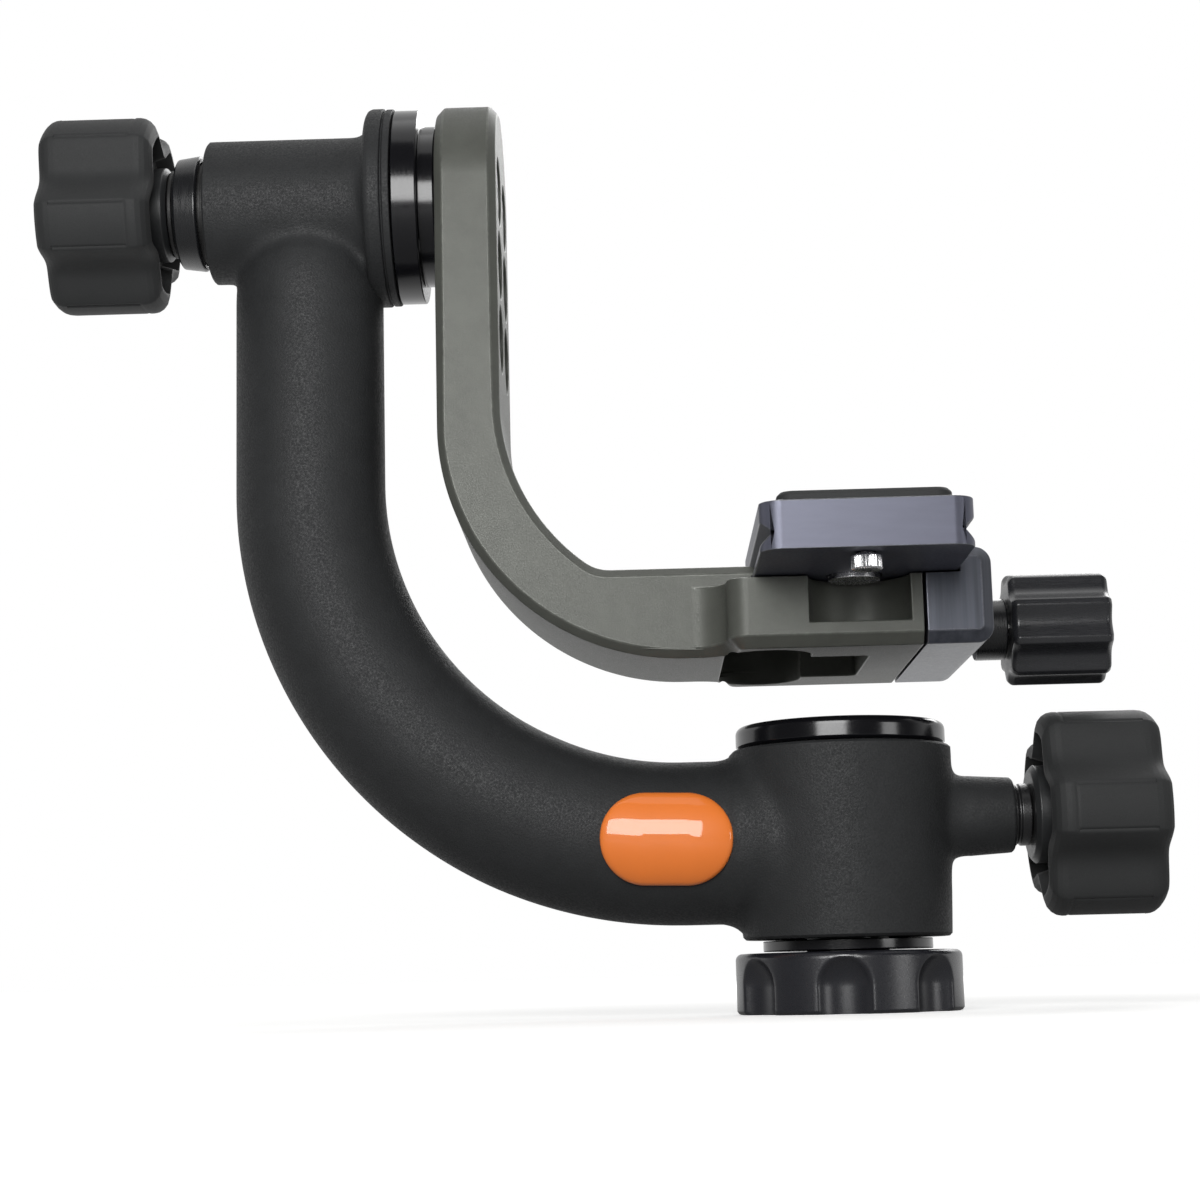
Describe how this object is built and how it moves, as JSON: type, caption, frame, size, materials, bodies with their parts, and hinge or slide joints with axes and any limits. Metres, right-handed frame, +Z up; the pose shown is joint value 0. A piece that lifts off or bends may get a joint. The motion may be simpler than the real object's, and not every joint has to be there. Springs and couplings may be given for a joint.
{
  "type": "gimbal tripod head",
  "caption": "Gimbal head with a fluted base, panning cast arm, swing arm on a tilt axis, lobed lock knobs and a quick-release clamp with its plate.",
  "frame": {"origin": "centre of the base ring's underside, on the pan axis, where the tripod's stud enters", "axes": "+Z up along the pan axis, +X along the tilt axis from the tilt knob towards the clamp knob, -Y towards the plate's long end"},
  "size_m": [0.2189, 0.0895, 0.1856],
  "materials": {
    "base_ring": "satin black",
    "tripod_bush": "plain",
    "pan_spindle": "glossy black",
    "pan_bearing_low": "polished",
    "pan_bearing_top": "polished",
    "top_cap": "glossy black",
    "cap_screw": "polished",
    "main_arm": "fine textured black",
    "badge": "glossy orange",
    "pan_brake_plug": "natural",
    "pan_lock_bolt": "satin black",
    "pan_knob_hub": "satin black",
    "pan_knob_grip": "matte dark",
    "pan_knob_cap": "satin black",
    "tilt_bearing_left": "polished",
    "tilt_bearing_right": "polished",
    "tilt_spindle": "glossy black",
    "tilt_friction_washer": "natural",
    "tilt_collar": "satin black",
    "tilt_lock_washer": "glossy black",
    "tilt_knob_hub": "satin black",
    "tilt_knob_grip": "matte dark",
    "tilt_knob_cap": "satin black",
    "swing_arm": "blasted olive grey",
    "arm_bolt_front": "polished",
    "arm_bolt_back": "polished",
    "clamp_jaw": "satin blue black",
    "jaw_pin_front": "polished",
    "jaw_pin_back": "polished",
    "clamp_screw": "polished",
    "clamp_collar": "satin black",
    "clamp_knob": "glossy black",
    "clamp_knob_screw": "polished",
    "qr_plate": "satin blue black",
    "qr_pad": "matte black",
    "stop_screw": "polished",
    "camera_screw": "polished"
  },
  "bodies": {
    "base": {"base_ring": "base_ring", "tripod_bush": "tripod_bush", "pan_spindle": "pan_spindle", "top_cap": "top_cap", "cap_screw": "cap_screw"},
    "pan": {"main_arm": "main_arm", "badge": "badge", "pan_bearing_low": "pan_bearing_low", "pan_bearing_top": "pan_bearing_top", "tilt_bearing_left": "tilt_bearing_left", "tilt_bearing_right": "tilt_bearing_right", "tilt_friction_washer": "tilt_friction_washer"},
    "pan_brake": {"pan_brake_plug": "pan_brake_plug"},
    "pan_knob": {"pan_lock_bolt": "pan_lock_bolt", "pan_knob_hub": "pan_knob_hub", "pan_knob_grip": "pan_knob_grip", "pan_knob_cap": "pan_knob_cap"},
    "swing": {"tilt_spindle": "tilt_spindle", "swing_arm": "swing_arm", "arm_bolt_front": "arm_bolt_front", "arm_bolt_back": "arm_bolt_back"},
    "tilt_brake": {"tilt_collar": "tilt_collar", "tilt_lock_washer": "tilt_lock_washer"},
    "tilt_knob": {"tilt_knob_hub": "tilt_knob_hub", "tilt_knob_grip": "tilt_knob_grip", "tilt_knob_cap": "tilt_knob_cap"},
    "jaw": {"clamp_jaw": "clamp_jaw", "jaw_pin_front": "jaw_pin_front", "jaw_pin_back": "jaw_pin_back"},
    "jaw_knob": {"clamp_screw": "clamp_screw", "clamp_collar": "clamp_collar", "clamp_knob": "clamp_knob", "clamp_knob_screw": "clamp_knob_screw"},
    "plate": {"qr_plate": "qr_plate", "qr_pad": "qr_pad", "stop_screw": "stop_screw", "camera_screw": "camera_screw"}
  },
  "joints": [
    {"name": "pan_turn", "type": "hinge", "parent": "base", "child": "pan", "pos_m": [0, 0, 0], "axis": [0, 0, 1], "continuous": true},
    {"name": "pan_lock_slide", "type": "slide", "parent": "pan", "child": "pan_brake", "axis": [-1, 0, 0], "range_m": [0, 0.0004]},
    {"name": "pan_lock_turn", "type": "hinge", "parent": "pan_brake", "child": "pan_knob", "pos_m": [0.0332, 0, 0.0375], "axis": [-1, 0, 0], "range_deg": [0, 115.2]},
    {"name": "tilt_turn", "type": "hinge", "parent": "pan", "child": "swing", "pos_m": [-0.0864, 0, 0.1654], "axis": [1, 0, 0], "continuous": true},
    {"name": "tilt_lock_slide", "type": "slide", "parent": "swing", "child": "tilt_brake", "axis": [1, 0, 0], "range_m": [0, 0.0004]},
    {"name": "tilt_lock_turn", "type": "hinge", "parent": "tilt_brake", "child": "tilt_knob", "pos_m": [-0.1329, 0, 0.1654], "axis": [1, 0, 0], "range_deg": [0, 115.2]},
    {"name": "jaw_slide", "type": "slide", "parent": "swing", "child": "jaw", "axis": [1, 0, 0], "range_m": [0, 0.0035]},
    {"name": "jaw_knob_turn", "type": "hinge", "parent": "jaw", "child": "jaw_knob", "pos_m": [0.0145, 0, 0.0744], "axis": [1, 0, 0], "range_deg": [0, 1008]},
    {"name": "plate_slide", "type": "slide", "parent": "swing", "child": "plate", "axis": [0, -1, 0], "range_m": [0, 0.008]}
  ],
  "couplings": [
    {"joint": "pan_lock_turn", "follows": "pan_lock_slide", "rad_per_m": 5026.5},
    {"joint": "tilt_lock_turn", "follows": "tilt_lock_slide", "rad_per_m": 5026.5},
    {"joint": "jaw_knob_turn", "follows": "jaw_slide", "rad_per_m": 5026.5}
  ]
}
